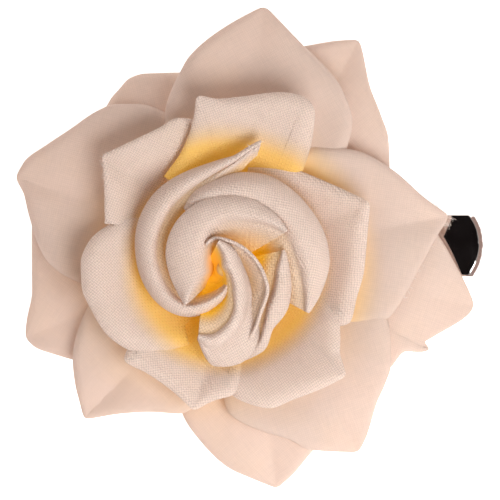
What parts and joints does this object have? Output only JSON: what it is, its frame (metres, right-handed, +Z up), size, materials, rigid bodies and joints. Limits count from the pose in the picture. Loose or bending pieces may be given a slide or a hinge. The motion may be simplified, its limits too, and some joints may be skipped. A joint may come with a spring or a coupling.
{
  "type": "flower hair clip",
  "caption": "Cloth rose on a two-arm metal spring clip that opens at the jaws when the thumb end is pressed.",
  "frame": {"origin": "on the flat underside of the lower arm, on the clip's centre line beneath the flower", "axes": "+X along the clip towards its thumb end, +Z up out of the flower's face, +Y completes the right hand"},
  "size_m": [0.0748, 0.0764, 0.0291],
  "materials": {
    "clip_plate": "polished nickel plate",
    "pin_steel": "polished nickel plate",
    "spring_steel": "drawn spring wire",
    "clear_glue": "hot glue, smooth",
    "felt": "wool felt",
    "hub_plastic": "moulded",
    "core_cloth": "tightly wound cloth",
    "heart_cloth": "plain open weave, stiffened",
    "outer_cloth": "plain fine weave, stiffened"
  },
  "bodies": {
    "lower_arm": {"lower_arm": "clip_plate", "hinge_pin": "pin_steel", "torsion_spring": "spring_steel"},
    "upper_arm": {"back_petal_1": "outer_cloth", "back_petal_2": "outer_cloth", "back_petal_3": "outer_cloth", "back_petal_4": "outer_cloth", "back_petal_5": "outer_cloth", "bud_core": "core_cloth", "felt_pad": "felt", "flower_hub": "hub_plastic", "front_petal_1": "outer_cloth", "front_petal_2": "outer_cloth", "front_petal_3": "outer_cloth", "front_petal_4": "outer_cloth", "front_petal_5": "outer_cloth", "glue_pad": "clear_glue", "inner_petal_1": "heart_cloth", "inner_petal_2": "heart_cloth", "inner_petal_3": "heart_cloth", "inner_petal_4": "heart_cloth", "inner_petal_5": "heart_cloth", "inner_petal_6": "heart_cloth", "middle_petal_1": "heart_cloth", "middle_petal_2": "heart_cloth", "middle_petal_3": "heart_cloth", "middle_petal_4": "heart_cloth", "middle_petal_5": "heart_cloth", "middle_petal_6": "heart_cloth", "upper_arm": "clip_plate"}
  },
  "joints": [
    {"name": "jaw_hinge", "type": "hinge", "parent": "lower_arm", "child": "upper_arm", "pos_m": [0.017, 0, 0.004], "axis": [0, 1, 0], "range_deg": [0, 25], "stiffness_Nm_per_rad": 0.05, "springref_deg": -45.84, "deforming": ["torsion_spring"]}
  ]
}
